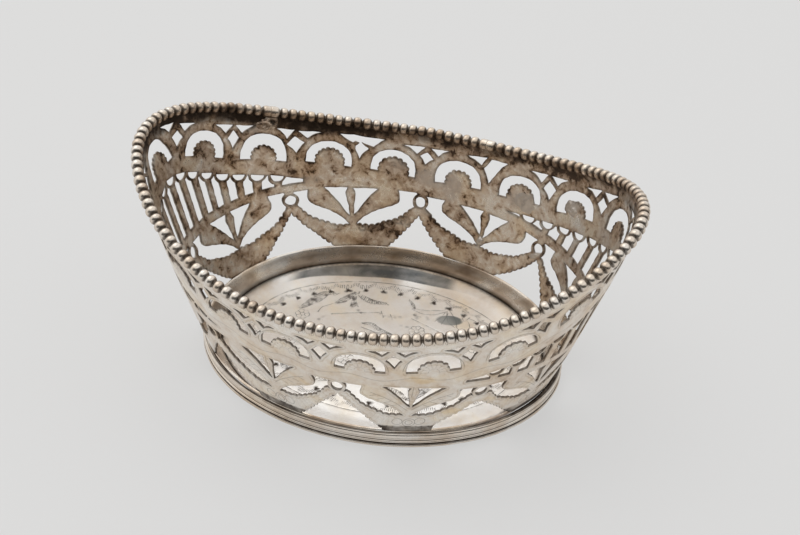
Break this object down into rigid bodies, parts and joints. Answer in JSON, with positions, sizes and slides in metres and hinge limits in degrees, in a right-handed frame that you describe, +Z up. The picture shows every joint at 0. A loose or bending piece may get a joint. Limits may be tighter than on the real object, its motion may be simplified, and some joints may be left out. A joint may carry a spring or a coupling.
{
  "type": "bonbon basket",
  "caption": "Small oval silver basket with a pierced flaring wall, raised ends, beaded rim, reeded foot and flat base.",
  "frame": {"origin": "on the table under the middle of the basket", "axes": "+Z up, +X along the length towards a raised end, -Y towards the viewer of the picture"},
  "size_m": [0.1528, 0.109, 0.0666],
  "materials": {
    "plate_silver": "bright engraved silver, worn",
    "band_silver": "toned satin silver",
    "moulding_silver": "polished reeded silver with dark grooves",
    "wall_silver": "toned pierced silver, brown tarnish inside",
    "bead_silver": "bright beads with dark gaps",
    "repair_solder": "dull grey solder"
  },
  "bodies": {
    "root": {"base_plate": "plate_silver", "foot_band": "band_silver", "foot_moulding": "moulding_silver", "pierced_wall": "wall_silver", "bead_rim_long": "bead_silver", "bead_rim_short": "bead_silver", "repair_plate_rosette": "repair_solder", "repair_plate_arch": "repair_solder", "repair_lump_rim": "repair_solder", "repair_button_bud": "repair_solder", "repair_strip_ring": "repair_solder"}
  },
  "joints": []
}
